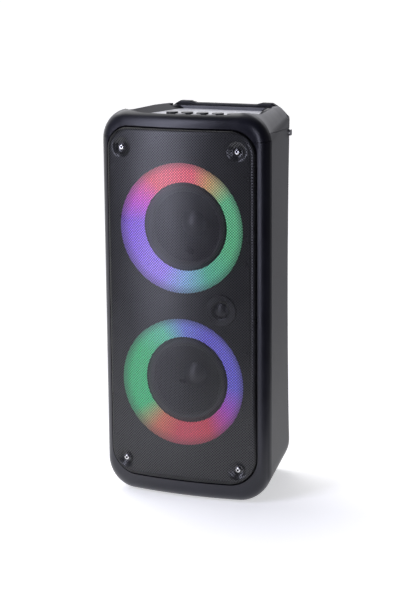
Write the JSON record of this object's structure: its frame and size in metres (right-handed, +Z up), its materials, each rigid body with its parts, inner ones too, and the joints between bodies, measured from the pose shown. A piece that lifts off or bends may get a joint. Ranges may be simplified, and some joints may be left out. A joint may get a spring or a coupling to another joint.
{
  "type": "party speaker",
  "caption": "Tall portable party speaker: bowed grille, glowing rings round its woofers, dished top with a button panel, tapered cabinet and a carrying bar.",
  "frame": {"origin": "on the floor under the middle of the case, at the bottom of the feet", "axes": "+Z up, +X to the right as seen from the front, -Y out of the grille"},
  "size_m": [0.294, 0.232, 0.6542],
  "materials": {
    "shell_plastic": "matt, fine spark texture",
    "bar_plastic": "satin",
    "grille_steel": "satin powder coat",
    "foam": "matt",
    "zinc_screw": "bright zinc",
    "black_screw": "black oxide",
    "baffle_board": "matt",
    "diffuser": "translucent, lit",
    "circuit_board": "solder mask",
    "led_chip": "lit",
    "basket_steel": "satin",
    "ferrite": "ground",
    "cone_paper": "pressed pulp",
    "cap_plastic": "satin",
    "surround_rubber": "matt",
    "spider_cloth": "resin-dipped",
    "silver_panel": "silver, glossy",
    "button_black": "satin",
    "button_grey": "satin",
    "component_black": "matt",
    "heatsink_alloy": "extruded",
    "cell_wrap": "shrink wrap",
    "tray_plastic": "matt",
    "jack_plastic": "gloss",
    "lead_wire": "PVC",
    "foot_rubber": "matt",
    "lug_steel": "satin"
  },
  "bodies": {
    "case": {"front_bezel": "shell_plastic", "rear_cabinet": "shell_plastic", "top_cover": "shell_plastic", "carry_bar": "bar_plastic", "strap_lugs": "lug_steel", "grille": "grille_steel", "grille_gasket": "foam", "cup_washers": "black_screw", "grille_screws": "zinc_screw", "front_baffle": "baffle_board", "baffle_screws": "black_screw", "woofer_screws": "black_screw", "tweeter_body": "basket_steel", "tweeter_dome": "cap_plastic", "control_panel": "silver_panel", "control_board": "circuit_board", "board_screws": "black_screw", "tact_switches": "component_black", "input_panel": "jack_plastic", "input_panel_screws": "black_screw", "mic_jacks": "jack_plastic", "dc_inlet": "jack_plastic", "rocker_housing": "jack_plastic", "amp_board": "circuit_board", "amp_components": "component_black", "heatsink": "heatsink_alloy", "battery_cells": "cell_wrap", "battery_tray": "tray_plastic", "battery_strap": "tray_plastic", "speaker_leads": "lead_wire", "feet": "foot_rubber", "foot_screws": "black_screw", "light_ring_upper": "diffuser", "ring_board_upper": "circuit_board", "ring_leds_upper": "led_chip", "woofer_basket_upper": "basket_steel", "woofer_motor_upper": "ferrite", "surround_upper": "surround_rubber", "spider_upper": "spider_cloth", "light_ring_lower": "diffuser", "ring_board_lower": "circuit_board", "ring_leds_lower": "led_chip", "woofer_basket_lower": "basket_steel", "woofer_motor_lower": "ferrite", "surround_lower": "surround_rubber", "spider_lower": "spider_cloth"},
    "cone_upper": {"cone_upper": "cone_paper", "dust_cap_upper": "cap_plastic"},
    "cone_lower": {"cone_lower": "cone_paper", "dust_cap_lower": "cap_plastic"},
    "power_rocker": {"power_rocker": "button_black"},
    "button_back_1": {"button_back_1": "button_black"},
    "button_back_2": {"button_back_2": "button_black"},
    "button_back_3": {"button_back_3": "button_black"},
    "button_back_4": {"button_back_4": "button_black"},
    "button_back_5": {"button_back_5": "button_black"},
    "button_front_1": {"button_front_1": "button_grey"},
    "button_front_2": {"button_front_2": "button_grey"},
    "button_front_3": {"button_front_3": "button_grey"}
  },
  "joints": [
    {"name": "cone_upper_travel", "type": "slide", "parent": "case", "child": "cone_upper", "axis": [0, -1, 0], "range_m": [-0.004, 0.004], "stiffness_N_per_m": 1800, "deforming": ["surround_upper", "spider_upper"]},
    {"name": "cone_lower_travel", "type": "slide", "parent": "case", "child": "cone_lower", "axis": [0, -1, 0], "range_m": [-0.004, 0.004], "stiffness_N_per_m": 1800, "deforming": ["surround_lower", "spider_lower"]},
    {"name": "power_rocker_tilt", "type": "hinge", "parent": "case", "child": "power_rocker", "pos_m": [0.038, 0.111, 0.38], "axis": [1, 0, 0], "range_deg": [-16, 0]},
    {"name": "button_back_1_press", "type": "slide", "parent": "case", "child": "button_back_1", "axis": [0, 0, -1], "range_m": [0, 0.0014], "stiffness_N_per_m": 900},
    {"name": "button_back_2_press", "type": "slide", "parent": "case", "child": "button_back_2", "axis": [0, 0, -1], "range_m": [0, 0.0014], "stiffness_N_per_m": 900},
    {"name": "button_back_3_press", "type": "slide", "parent": "case", "child": "button_back_3", "axis": [0, 0, -1], "range_m": [0, 0.0014], "stiffness_N_per_m": 900},
    {"name": "button_back_4_press", "type": "slide", "parent": "case", "child": "button_back_4", "axis": [0, 0, -1], "range_m": [0, 0.0014], "stiffness_N_per_m": 900},
    {"name": "button_back_5_press", "type": "slide", "parent": "case", "child": "button_back_5", "axis": [0, 0, -1], "range_m": [0, 0.0014], "stiffness_N_per_m": 900},
    {"name": "button_front_1_press", "type": "slide", "parent": "case", "child": "button_front_1", "axis": [0, 0, -1], "range_m": [0, 0.0014], "stiffness_N_per_m": 900},
    {"name": "button_front_2_press", "type": "slide", "parent": "case", "child": "button_front_2", "axis": [0, 0, -1], "range_m": [0, 0.0014], "stiffness_N_per_m": 900},
    {"name": "button_front_3_press", "type": "slide", "parent": "case", "child": "button_front_3", "axis": [0, 0, -1], "range_m": [0, 0.0014], "stiffness_N_per_m": 900}
  ]
}
